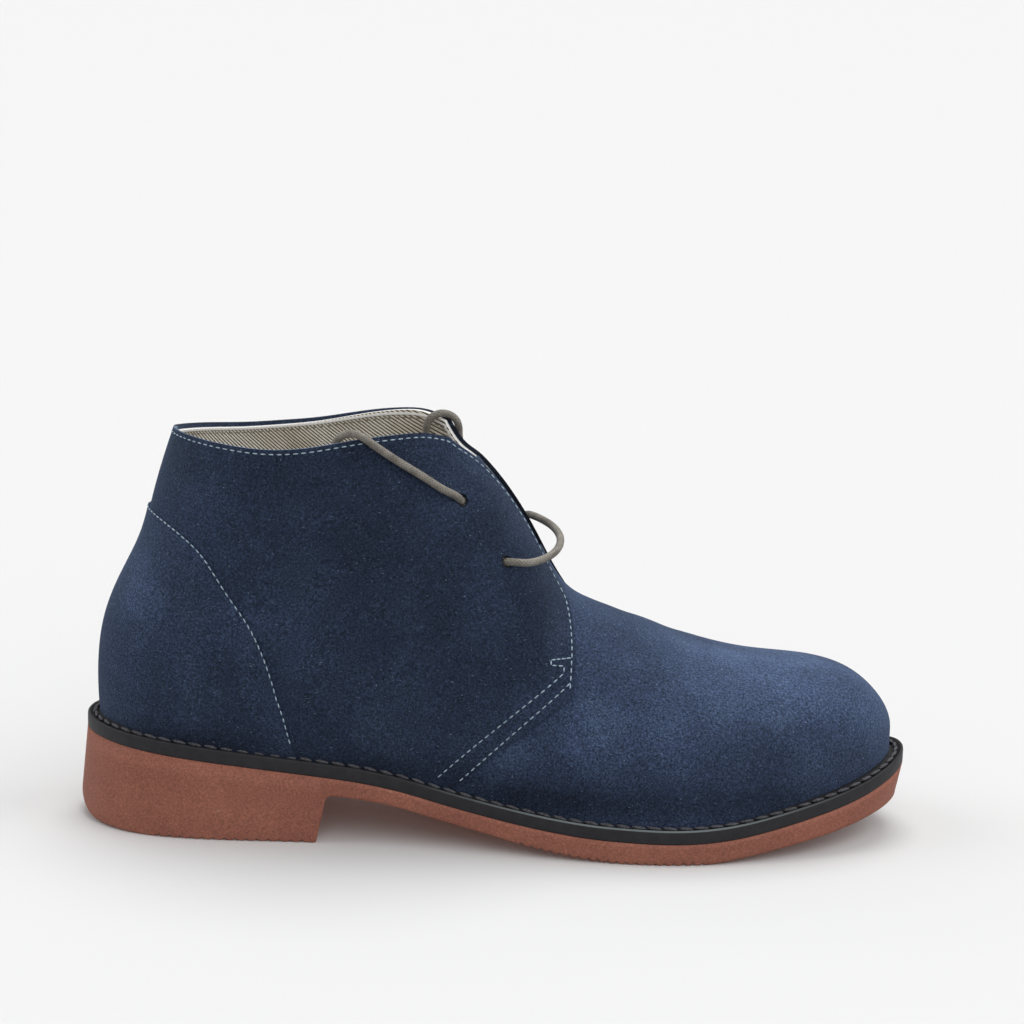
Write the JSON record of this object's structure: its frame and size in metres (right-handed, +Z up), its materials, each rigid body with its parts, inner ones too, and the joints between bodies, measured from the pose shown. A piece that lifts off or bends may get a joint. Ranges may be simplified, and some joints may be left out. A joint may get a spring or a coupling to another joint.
{
  "type": "chukka boot",
  "caption": "Ankle-high suede chukka boot for the right foot with a rubber sole, contrast welt, twill lining and a round lace through punched holes.",
  "frame": {"origin": "under the middle of the sole's bounding box, on the floor", "axes": "+X from heel to toe, +Y towards the inner (medial) side of the foot, +Z up"},
  "size_m": [0.305, 0.1053, 0.1513],
  "materials": {
    "rubber": "matt moulded rubber",
    "welt": "satin charcoal welting",
    "insole": "smooth vegetable-tanned sock",
    "suede": "napped suede",
    "lining": "cotton twill",
    "thread": "waxed polyester thread",
    "lace": "waxed round cotton cord"
  },
  "bodies": {
    "root": {"outsole": "rubber", "welt": "welt", "insole": "insole", "upper": "suede", "heel_counter": "suede", "tongue": "suede", "lace_bar": "lace", "lace_end_lateral": "lace", "lace_end_medial": "lace"}
  },
  "joints": []
}
